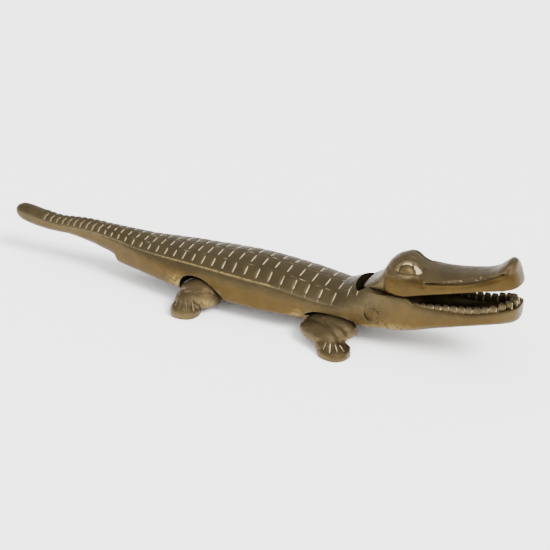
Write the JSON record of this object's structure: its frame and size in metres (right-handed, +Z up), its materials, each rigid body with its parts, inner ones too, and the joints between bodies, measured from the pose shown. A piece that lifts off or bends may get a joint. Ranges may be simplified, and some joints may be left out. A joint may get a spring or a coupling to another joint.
{
  "type": "crocodile nutcracker",
  "caption": "Cast brass nutcracker shaped as a crocodile: lifting the tail opens its jaws about a pin in the neck, pressing the tail down cracks the nut.",
  "frame": {"origin": "on the surface it stands on, under the middle of its length and width", "axes": "+X to the snout, +Y to the animal's left, +Z up"},
  "size_m": [0.3, 0.0706, 0.0578],
  "materials": {
    "aged_brass_back": "worn cast brass, dark olive brown on the back and golden on the sides",
    "aged_brass_head_and_legs": "worn cast brass, dark olive brown",
    "peened_brass": "peened over and filed flush"
  },
  "bodies": {
    "head_and_legs": {"head_and_legs_casting": "aged_brass_head_and_legs"},
    "back_jaw_and_tail": {"back_jaw_and_tail_casting": "aged_brass_back", "pivot_pin": "peened_brass"}
  },
  "joints": [
    {"name": "jaw_hinge", "type": "hinge", "parent": "head_and_legs", "child": "back_jaw_and_tail", "pos_m": [0.0788, 0, 0.0197], "axis": [0, 1, 0], "range_deg": [0, 22]}
  ]
}
